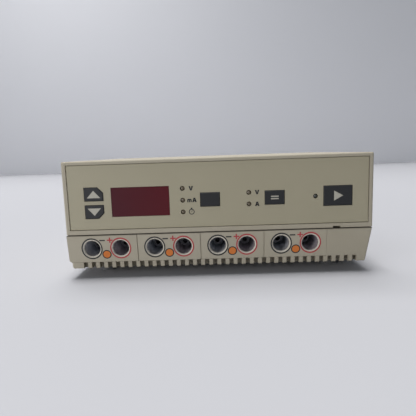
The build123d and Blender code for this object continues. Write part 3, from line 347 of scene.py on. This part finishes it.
# Heat sink and power transistors: an extruded aluminium comb that stands on the main board,
# with three flat black packages clamped to its face. Their legs are tinned.
def brushed(name, base, shade, roughness, stretch):
    # Metal with fine streaks along the direction that is stretched least
    roughness_spread = 0.16
    streak_strength = 0.15
    streak_depth = 0.00004
    finish = Finish(name, Metallic=1.0)
    stretched = finish.node("ShaderNodeMapping", {}, {"Vector": finish.place, "Scale": stretch})
    streaks = finish.node("ShaderNodeTexNoise", {}, {"Vector": stretched, "Scale": 1.0, "Detail": 3.0})
    finish.surface(
        Base_Color=finish.mix_colours(streaks, base, shade),
        Roughness=roughness + roughness_spread * (streaks - 0.5),
        Normal=finish.bump(streaks, streak_strength, streak_depth))
    return finish


extruded_aluminium = brushed(
    "extruded_aluminium", colour(202, 203, 205), colour(182, 183, 186),
    roughness=0.42, stretch=(900.0, 900.0, 60.0))
dress(extruded_aluminium, "heat_sink")
transistors_low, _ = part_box("power_transistors")
leg_length = 0.01225
transistor_black = moulded(
    "transistor_black", colour(32, 32, 33), colour(40, 40, 40),
    roughness=0.45, grain_scale=2200.0, grain_depth=0.00008)
legs = transistor_black.axis("Z") < transistors_low.z + leg_length
transistor_black.surface(
    Base_Color=transistor_black.coated(transistor_black.tone, (legs, colour(186, 186, 184))),
    Metallic=legs)
dress(transistor_black, "power_transistors")


# Flat cables: grey ribbons of parallel wires, one edge red, pressed into a black header at
# each end. They join the front board and the jack board to the main board.
def ribbon(name, header_depth, foot_height):
    low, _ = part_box(name)
    wire_pitch = 0.00127
    margin = 0.0015
    groove_strength = 0.5
    groove_depth = 0.0002
    cable = moulded(
        name + "_finish", colour(150, 150, 152), colour(136, 136, 138),
        roughness=0.45, grain_scale=900.0, grain_depth=0.00004)
    wires = cable.math("COSINE", (cable.axis("X") - low.x) * (2 * pi / wire_pitch))
    grooves = wires * 0.5 + 0.5
    first_wire = cable.axis("X") < low.x + margin + wire_pitch
    header = ((cable.axis("Y") < low.y + header_depth) + (cable.axis("Z") < low.z + foot_height)).clamp()
    cable.surface(
        Base_Color=cable.coated(
            cable.tone,
            (grooves * groove_strength, colour(104, 104, 107)),
            (first_wire, colour(164, 44, 42)),
            (header, moulding_black)),
        Normal=cable.bump(wires * (1 - header), groove_strength, groove_depth))
    dress(cable, name)


ribbon("front_ribbon", header_depth=0.0050, foot_height=0.0080)
ribbon("jack_ribbon", header_depth=0.0035, foot_height=0.0015)


# Mains leads: stranded wire in PVC insulation, brown for line and blue for neutral, from the
# tags of the inlet and of the switch down to the main board.
lead_insulation = moulded(
    "lead_insulation", colour(96, 58, 38), colour(84, 50, 32),
    roughness=0.4, grain_scale=900.0, grain_depth=0.00004)
neutral = lead_insulation.axis("X") > middle("mains_inlet").x
lead_insulation.surface(
    Base_Color=lead_insulation.coated(lead_insulation.tone, (neutral, colour(40, 84, 138))))
dress(lead_insulation, "mains_leads")


# Rear panel: a plate of brushed aluminium, punched with the vents and with the cut-outs for
# the inlet and the switch. It stands in the tray, and the cover closes over it.
brushed_plate = brushed(
    "brushed_plate", colour(198, 198, 200), colour(176, 177, 180),
    roughness=0.4, stretch=(60.0, 900.0, 900.0))
dress(brushed_plate, "rear_panel")


# Mains inlet: a black thermoplastic appliance inlet, held by two screws, with three nickelled
# blades and a slot below them for the fuse drawer.
inlet_black = moulded(
    "inlet_black", colour(28, 28, 29), colour(35, 35, 36),
    roughness=0.42, grain_scale=2400.0, grain_depth=0.00008)
dress(inlet_black, "mains_inlet")
blade_nickel = brushed(
    "blade_nickel", colour(196, 192, 184), colour(178, 174, 166),
    roughness=0.25, stretch=(900.0, 60.0, 900.0))
dress(blade_nickel, "inlet_blades")
zinc_steel = brushed(
    "zinc_steel", colour(190, 190, 186), colour(166, 165, 160),
    roughness=0.32, stretch=(600.0, 600.0, 600.0))
dress(zinc_steel, "inlet_screws")


# Fuse drawer: a black tray that slides out under the inlet and carries two glass fuses with
# nickelled end caps.
fuses_low, fuses_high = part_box("fuses")
fuse_half = (fuses_high.x - fuses_low.x) / 2
cap_length = 0.0050
fuse_glass = moulded(
    "fuse_glass", colour(196, 204, 204), colour(186, 192, 192),
    roughness=0.1, grain_scale=900.0, grain_depth=0.00001)
end_caps = abs(fuse_glass.axis("X") - middle("fuses").x) > fuse_half - cap_length
fuse_glass.surface(
    Base_Color=fuse_glass.coated(fuse_glass.tone, (end_caps, colour(188, 184, 176))),
    Metallic=end_caps)
dress(inlet_black, "fuse_drawer")
dress(fuse_glass, "fuses")


# Mains switch: a snap-in housing with a satin black rocker. A pale bar for on and a ring for
# off are printed on the two halves of the rocker.
class Face:
    # A flat place to print on: its origin, the directions across and up, and the way it looks
    def __init__(self, origin, across, up):
        self.origin = Vector(origin)
        self.across = Vector(across).normalized()
        self.up = Vector(up).normalized()
        self.out = self.across.cross(self.up)

    def point(self, x, y, height):
        return self.origin + self.across * x + self.up * y + self.out * height


def patch(points):
    # A shape is its outline and the outline of its hole. A patch has no hole.
    return (points, None)


def bar(x, y, width, height, turn=0.0):
    corners = [(a * width / 2, b * height / 2) for a, b in ((-1, -1), (1, -1), (1, 1), (-1, 1))]
    return patch([
        (x + a * cos(turn) - b * sin(turn), y + a * sin(turn) + b * cos(turn)) for a, b in corners])


def arc(x, y, radius, first, last, count):
    # Points of an arc, from one angle to the other
    angles = [first + (last - first) * n / count for n in range(count + 1)]
    return [(x + radius * cos(angle), y + radius * sin(angle)) for angle in angles]


def disc(x, y, radius, tall=1.0):
    sides = 64
    return patch([(a, y + (b - y) * tall) for a, b in arc(x, y, radius, 0, 2 * pi, sides)[:-1]])


def ring(x, y, outer, inner, tall=1.0):
    return (disc(x, y, outer, tall)[0], disc(x, y, inner, tall)[0])


def stamp(name, shapes, face, finish, body):
    # Every shape becomes a thin closed coat of ink on the face, sunk a little into it
    ink_height = 0.00005
    ink_sink = 0.00002
    mesh = bmesh.new()
    for outer, inner in shapes:
        loops = [
            [mesh.verts.new(face.point(x, y, height)) for x, y in outline]
            for outline in (outer, inner) if outline
            for height in (ink_height, -ink_sink)
        ]
        count = len(outer)
        if inner is None:
            top, bottom = loops
            mesh.faces.new(top)
            mesh.faces.new(reversed(bottom))
            walls = [(top, bottom)]
        else:
            top, bottom, inner_top, inner_bottom = loops
            walls = [(top, bottom), (bottom, inner_bottom), (inner_bottom, inner_top), (inner_top, top)]
        for first, second in walls:
            for n in range(count):
                m = (n + 1) % count
                mesh.faces.new((first[n], second[n], second[m], first[m]))
    bmesh.ops.recalc_face_normals(mesh, faces=mesh.faces)
    data = bpy.data.meshes.new(name)
    mesh.to_mesh(data)
    mesh.free()
    piece = bpy.data.objects.new(name, data)
    bpy.context.scene.collection.objects.link(piece)
    data.materials.append(finish.material)
    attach(piece, body)


def ink(name, base, shade):
    # Printed ink, with a faint mottle
    mottle_scale = 900.0
    finish = Finish(name, Roughness=0.5, Specular_IOR_Level=0.4)
    finish.surface(Base_Color=finish.mix_colours(finish.noise(mottle_scale), base, shade))
    return finish


dress(inlet_black, "switch_housing", "power_rocker")
light_ink = ink("light_ink", colour(178, 174, 162), colour(166, 162, 150))
rocker_joint = next(
    joint for joint in frame["record"]["behaviour"]["joints"] if joint["name"] == "rocker_tilt")
rocker_pivot = Vector(rocker_joint["pos_m"])
rocker_lean = radians(8.0)
rocker_crown = 0.0032
rocker_shoulder = 0.0022
rocker_half = 0.0079
on_width = 0.0008
on_length = 0.0036
off_outer = 0.0019
off_inner = 0.0013
outwards = Vector((0, cos(rocker_lean), -sin(rocker_lean)))
along = Vector((0, sin(rocker_lean), cos(rocker_lean)))
rocker_marks = {
    "rocker_on": (1, bar(0, 0, on_width, on_length)),
    "rocker_off": (-1, ring(0, 0, off_outer, off_inner)),
}
for name, (side, mark) in rocker_marks.items():
    half_rise = outwards * (rocker_crown + rocker_shoulder) / 2
    half_middle = rocker_pivot + half_rise + along * side * rocker_half / 2
    slope = along * rocker_half + outwards * side * (rocker_shoulder - rocker_crown)
    stamp(name, [mark], Face(half_middle, (-1, 0, 0), slope), light_ink, "rocker")


# Output jacks: four pairs of recessed insulating sleeves in plastic, bluish grey for minus and
# reddish grey for plus. Painted light makes each paler towards the floor of its recess, and
# painted shade darker on its right. Collars of the jack panel hold them, and each has a bored
# contact on its floor.
minus_sleeves = sorted(name for name in nodes if name.startswith("jack_sleeve_minus"))
plus_sleeves = sorted(name for name in nodes if name.startswith("jack_sleeve_plus"))
jack_contacts = [name for name in nodes if name.startswith("jack_contact")]


def sleeve_plastic(name, sleeves, mouth, floor):
    # Painted light makes it paler towards the floor of the recess, and painted shade darker towards its
    # right
    mouth_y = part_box(sleeves[0])[0].y
    painted_light_depth = 0.012
    recess_radius = 0.0064
    right_shade_strength = 0.55
    finish = moulded(name, mouth, mouth, roughness=0.3, grain_scale=1800.0, grain_depth=0.00006)
    floor_painted_light = ((finish.axis("Y") - mouth_y) / painted_light_depth).clamp()
    first, last = middle(sleeves[0]).x, middle(sleeves[-1]).x
    pitch = (last - first) / (len(sleeves) - 1)
    from_nearest = finish.math("WRAP", finish.axis("X") - first, pitch / 2, -pitch / 2)
    right_painted_shade = (from_nearest / recess_radius * 0.5 + 0.5).clamp()
    finish.surface(Base_Color=finish.coated(
        finish.tone, (floor_painted_light, floor), (right_painted_shade * right_shade_strength, colour(84, 82, 88))))
    return finish


# The last colour of each is the painted light at the floor of the recess
sleeve_minus = sleeve_plastic("sleeve_minus", minus_sleeves, colour(178, 174, 174), colour(228, 232, 240))
sleeve_plus = sleeve_plastic("sleeve_plus", plus_sleeves, colour(166, 152, 157), colour(234, 228, 234))
contact_nickel = brushed(
    "contact_nickel", colour(104, 104, 106), colour(92, 92, 94),
    roughness=0.5, stretch=(900.0, 60.0, 900.0))
dress(sleeve_minus, *minus_sleeves)
dress(sleeve_plus, *plus_sleeves)
dress(contact_nickel, *jack_contacts)


# Jack panel: a strip of the case's own plastic, with a collar for each jack moulded on its
# back. A painted highlight lies on the chamfer round each hole, weaker on its right, and
# painted shade on its upper lip. Rings, the signs of the poles and an orange spot between the
# jacks of a pair are printed on its raked face.
mouth_radius = 0.00725
chamfer_highlight_left = colour(224, 218, 204)
chamfer_highlight_right = colour(192, 186, 173)
jack_plastic = beige_plastic("jack_plastic", colour(172, 165, 150), colour(163, 155, 136))
# Painted highlight: a pale colour on the chamfer round each hole, less bright on its right
chamfer_highlights = 0.0
chamfer_highlight_rightness = 0.0
for name in minus_sleeves + plus_sleeves:
    from_hole_x = jack_plastic.axis("X") - middle(name).x
    from_hole_z = jack_plastic.axis("Z") - middle(name).z
    chamfer_highlight = (from_hole_x * from_hole_x + from_hole_z * from_hole_z) < mouth_radius ** 2
    chamfer_highlights = chamfer_highlights + chamfer_highlight
    chamfer_highlight_rightness = chamfer_highlight_rightness + chamfer_highlight * (from_hole_x / mouth_radius * 0.5 + 0.5)
# Painted shade on the upper lip of the jack panel, under the seam
upper_lip_shade = jack_plastic.axis("Z") > jack_high.z - lip_shade_reach
jack_plastic.surface(Base_Color=jack_plastic.coated(
    jack_plastic.tone,
    (chamfer_highlights, jack_plastic.mix_colours(chamfer_highlight_rightness.clamp(), chamfer_highlight_left, chamfer_highlight_right)),
    (upper_lip_shade * lip_shade_strength, lip_shade_colour)))
dress(jack_plastic, "jack_panel")
dark_ink = ink("dark_ink", colour(24, 25, 29), colour(30, 31, 35))
red_ink = ink("red_ink", colour(172, 54, 60), colour(158, 50, 56))
orange_ink = ink("orange_ink", colour(206, 118, 50), colour(194, 108, 45))
thinnest = 0.0035
face_foot = Vector((0, jack_high.y - thinnest, jack_low.z))
face_head = Vector((0, jack_low.y, jack_high.z))
rake = (face_head - face_foot).normalized()
chin_face = Face(face_foot, (1, 0, 0), rake)
hole_up = (middle("jack_sleeve_minus_1").z - jack_low.z) / rake.z
ring_outer = 0.00822
ring_inner = mouth_radius
ring_tall = 1.05
sign_length = 0.0043
sign_width = 0.0010
plus_arm = (sign_length - sign_width) / 2
minus_sign_x = 0.0085
minus_sign_up = 0.0066
plus_sign_x = -0.0080
plus_sign_up = 0.0067
spot_radius = 0.0036
spot_rim = 0.0008
spot_drop = 0.0049
minus_xs = [middle(name).x for name in minus_sleeves]
plus_xs = [middle(name).x for name in plus_sleeves]
pair_xs = [(a + b) / 2 for a, b in zip(minus_xs, plus_xs)]


def pole_marks(xs, sign_x, sign_up):
    # A ring round each hole, and the dash that both signs have
    rings = [ring(x, hole_up, ring_outer, ring_inner, ring_tall) for x in xs]
    return rings + [bar(x + sign_x, hole_up + sign_up, sign_length, sign_width) for x in xs]


plus_arms = [
    bar(x + plus_sign_x, hole_up + plus_sign_up + side * (sign_width + plus_arm) / 2, sign_width, plus_arm)
    for x in plus_xs for side in (-1, 1)]
spots = [disc(x, hole_up - spot_drop, spot_radius - spot_rim) for x in pair_xs]
spot_rims = [ring(x, hole_up - spot_drop, spot_radius, spot_radius - spot_rim) for x in pair_xs]
stamp("minus_rings", pole_marks(minus_xs, minus_sign_x, minus_sign_up),
      chin_face, dark_ink, "root")
stamp("plus_rings", pole_marks(plus_xs, plus_sign_x, plus_sign_up) + plus_arms,
      chin_face, red_ink, "root")
stamp("pair_discs", spots, chin_face, orange_ink, "root")
stamp("pair_disc_rims", spot_rims, chin_face, dark_ink, "root")


# Control panel: a satin plate on a ledge of the bezel, a shade yellower than the case. The
# units beside the lamps and a plain stopwatch for the timer are printed on it in black.
panel_plastic = moulded(
    "panel_plastic", colour(163, 156, 134), colour(156, 149, 127),
    roughness=0.48, grain_scale=3200.0, grain_depth=0.00006, Specular_IOR_Level=0.45)
dress(panel_plastic, "control_panel")
panel_low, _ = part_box("control_panel")
panel_face = Face((0, panel_low.y, 0), (1, 0, 0), (0, 0, 1))
display_middle = middle("display_window")
left_legend_x = display_middle.x + 0.0389
middle_legend_x = middle("mode_key").x - 0.0133
lamp_rise = 0.0090
middle_lamp_rise = 0.0045
capital_height = 0.0033
capital_half = 0.0017
stroke = 0.00095
thin_stroke = stroke * 0.85
slope_stroke = 0.00120
notch = 0.4
crossbar_drop = 0.18


def slopes(x, y, sign):
    # The two slopes of a capital V, or with sign -1 of a capital A
    tall = capital_height / 2 * sign
    corners = [
        (-capital_half, tall), (slope_stroke - capital_half, tall), (0, -tall * notch),
        (capital_half - slope_stroke, tall), (capital_half, tall), (slope_stroke / 2, -tall),
        (-slope_stroke / 2, -tall)]
    return patch([(x + a, y + b) for a, b in corners])


def capital_a(x, y):
    return [slopes(x, y, -1), bar(x, y - capital_height * crossbar_drop, capital_half, thin_stroke)]


def small_m(x, y):
    # Three stems under two arches, on the foot line of the capitals
    stem = 0.0015
    gap = 0.00125
    sides = 16
    foot = y - capital_height / 2
    stems = [bar(x + side * gap, foot + stem / 2, thin_stroke, stem) for side in (-1, 0, 1)]
    arches = [
        patch(arc(x + side * gap / 2, foot + stem, (gap + stroke) / 2, 0, pi, sides)
              + arc(x + side * gap / 2, foot + stem, (gap - stroke) / 2, pi, 0, sides))
        for side in (-1, 1)]
    return stems + arches


small_m_x = left_legend_x - 0.0014
ampere_x = left_legend_x + 0.0024
watch_y = display_middle.z - lamp_rise
watch_radius = 0.0022
watch_rim = 0.0006
crown_gap = 0.0004
crown_width = 0.0012
crown_height = 0.0009
hand_x = 0.0002
hand_y = 0.0005
hand_width = 0.0004
hand_length = 0.0013
stamp("panel_units", [
    slopes(left_legend_x, display_middle.z + lamp_rise, 1),
    *small_m(small_m_x, display_middle.z),
    *capital_a(ampere_x, display_middle.z),
    slopes(middle_legend_x, display_middle.z + middle_lamp_rise, 1),
    *capital_a(middle_legend_x, display_middle.z - middle_lamp_rise),
], panel_face, dark_ink, "root")
stamp("panel_stopwatch", [
    ring(left_legend_x, watch_y, watch_radius, watch_radius - watch_rim),
    bar(left_legend_x, watch_y + watch_radius + crown_gap, crown_width, crown_height),
    bar(left_legend_x + hand_x, watch_y + hand_y, hand_width, hand_length, radians(-15)),
], panel_face, dark_ink, "root")


# Display: a dark red acrylic filter let into the panel, in front of a numeric block whose
# three digits are off, so that the window looks almost evenly maroon.
window_low, window_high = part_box("display_window")
cloud_scale = 40.0
cloud_strength = 0.3
red_filter = Finish("red_filter", Roughness=0.28, Specular_IOR_Level=0.2)
towards_right = (red_filter.axis("X") - window_low.x) / (window_high.x - window_low.x)
clouds = cloud_strength * (red_filter.noise(cloud_scale) - 0.5)
red_filter.surface(Base_Color=red_filter.mix_colours(
    (towards_right + clouds).clamp(), colour(72, 28, 36), colour(82, 21, 29)))
dress(red_filter, "display_window")


# Keys: five push keys in dark grey plastic, each sliding in the panel on its own switch. Up
# and down carry a pale triangle, the mode key two bars, the run key a triangle on its side,
# and the select key is plain.
key_plastic = moulded(
    "key_plastic", colour(31, 32, 34), colour(27, 28, 30),
    roughness=0.5, grain_scale=2600.0, grain_depth=0.00010, Specular_IOR_Level=0.38)
arrow_half = 0.0051
arrow_top = 0.00285
run_mark_half = 0.0038
run_mark_back = 0.0030
mode_bar_length = 0.0058
mode_bar_width = 0.0009
mode_bar_rise = 0.0009
key_marks = {
    "up_key": [patch([(-arrow_half, -arrow_top), (arrow_half, -arrow_top), (0, arrow_top)])],
    "down_key": [patch([(-arrow_half, arrow_top), (0, -arrow_top), (arrow_half, arrow_top)])],
    "select_key": [],
    "mode_key": [bar(0, side * mode_bar_rise, mode_bar_length, mode_bar_width) for side in (-1, 1)],
    "run_key": [patch([
        (-run_mark_back, -run_mark_half), (run_mark_half, 0), (-run_mark_back, run_mark_half)])],
}
for name, marks in key_marks.items():
    dress(key_plastic, name)
    key_low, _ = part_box(name)
    cap = Face((middle(name).x, key_low.y, middle(name).z), (1, 0, 0), (0, 0, 1))
    if marks:
        stamp(name + "_mark", marks, cap, light_ink, name)


# Indicator lamps: six small domed lenses in smoke-coloured plastic, unlit, each in a hole of
# the panel on a spacer of its own. The one beside the run key is darker.
_, lamps_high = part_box("indicator_lamps")
lamp_width = 0.0050
mottle_scale = 700.0
lamp_lens = Finish("lamp_lens", Roughness=0.25, Coat_Weight=0.3)
run_lamp = lamp_lens.axis("X") > lamps_high.x - lamp_width
lamp_lens.surface(Base_Color=lamp_lens.coated(
    colour(110, 99, 82),
    (lamp_lens.noise(mottle_scale), colour(98, 88, 72)),
    (run_lamp, colour(64, 67, 63))))
dress(lamp_lens, "indicator_lamps")


# Top cover: the upper half of the case in the same grained plastic, with its painted shade at
# the seam and painted light on the left wall of the bezel round the control panel. It comes
# down over the tray and is held by four screws from below.
dress(case_plastic, "top_cover")


# Screws: zinc-plated steel, with a cross recess in the four long ones that go up through the
# tray into the cover. The short ones hold the main board and the front board.
dress(zinc_steel, "front_board_screws", "main_board_screws", "case_screws")


# Stage: a pale bench top and a plain wall a good way behind it, both matt. They aren't part
# of the object.
def sheet_of(name, corners, tone):
    finish = Finish(name, Roughness=0.9, Specular_IOR_Level=0.0)
    finish.surface(Base_Color=tone)
    data = bpy.data.meshes.new(name)
    data.from_pydata(corners, [], [(0, 1, 2, 3)])
    data.materials.append(finish.material)
    sheet = bpy.data.objects.new(name, data)
    bpy.context.scene.collection.objects.link(sheet)


half_span = 3.0
bench_front = -1.2
bench_back = 2.05
wall_foot = -0.5
wall_head = 2.5
sheet_of("floor", [(-half_span, bench_front, 0), (half_span, bench_front, 0), (half_span, bench_back, 0),
                   (-half_span, bench_back, 0)], colour(176, 176, 180))
sheet_of("backdrop", [(-half_span, bench_back, wall_foot), (half_span, bench_back, wall_foot),
                      (half_span, bench_back, wall_head), (-half_span, bench_back, wall_head)],
         colour(244, 244, 248))


# Light: a soft ceiling overhead and a weaker one behind the object, a low window at the front
# left, a lamp for the wall, and a weak bluish room all round.
def lamp_towards(name, kind, energy, place, target):
    data = bpy.data.lights.new(name, kind)
    data.energy = energy
    lamp = bpy.data.objects.new(name, data)
    bpy.context.scene.collection.objects.link(lamp)
    lamp.location = place
    lamp.rotation_euler = (Vector(target) - lamp.location).to_track_quat("-Z", "Y").to_euler()
    return data


ceiling = lamp_towards(
    "ceiling", "SUN", energy=2.55, place=(-0.05, 0.0, 1.0), target=(0, 0, 0))
ceiling.angle = radians(18)
ceiling_behind = lamp_towards(
    "ceiling_behind", "SUN", energy=1.2, place=(-0.08, 0.36, 1.0), target=(0, 0, 0))
ceiling_behind.angle = radians(30)
window = lamp_towards(
    "window", "AREA", energy=2.1, place=(-1.05, -1.05, 0.28), target=(0, 0, 0.04))
window.size = 0.5
window.spread = radians(80)
wall_lamp = lamp_towards(
    "wall_lamp", "AREA", energy=11.0, place=(-0.95, 0.80, 1.65), target=(-0.55, 2.05, 0.55))
wall_lamp.size = 0.8


class Room(Finish):
    # The world, whose shader is its background
    def __init__(self, name):
        self.world = bpy.data.worlds.new(name)
        self.world.use_nodes = True
        self.tree = self.world.node_tree
        self.shader = self.tree.nodes["Background"]

    def ray(self, kind):
        return self.node("ShaderNodeLightPath", {}, {}, kind)


# What the camera, a reflection or glass shows of the room is as pale as the wall
room_light = (0.134, 0.149, 0.160, 1.0)
room_look = colour(186, 188, 194)
room = Room("room")
seen = (room.ray("Is Camera Ray") + room.ray("Is Glossy Ray") + room.ray("Is Transmission Ray")).clamp()
room.surface(Color=room.mix_colours(seen, room_light, room_look))
bpy.context.scene.world = room.world
bpy.context.scene.view_settings.view_transform = "Standard"


# Camera: a little left of the middle and just above the case, looking down at its front. Its
# focal length is in pixels of the square picture.
frame_width = 416
focal_pixels = 393.6
sensor_width = 36.0
camera_place = Vector((-0.00247, -0.39680, 0.0950))
yaw, pitch, roll = radians(0.964), radians(7.913), radians(-1.915)
level = Vector((-sin(yaw), cos(yaw), 0))
sideways = Vector((cos(yaw), sin(yaw), 0))
upright = Vector((0, 0, 1))
ahead = level * cos(pitch) - upright * sin(pitch)
above = upright * cos(pitch) + level * sin(pitch)
camera_right = sideways * cos(roll) + above * sin(roll)
camera_up = above * cos(roll) - sideways * sin(roll)
camera_turn = Matrix((camera_right, camera_up, -ahead)).transposed().to_4x4()
camera_data = bpy.data.cameras.new("camera")
camera_data.sensor_width = sensor_width
camera_data.lens = focal_pixels / frame_width * sensor_width
camera_data.clip_start = 0.01
camera = bpy.data.objects.new("camera", camera_data)
bpy.context.scene.collection.objects.link(camera)
camera.matrix_world = Matrix.Translation(camera_place) @ camera_turn
bpy.context.scene.camera = camera
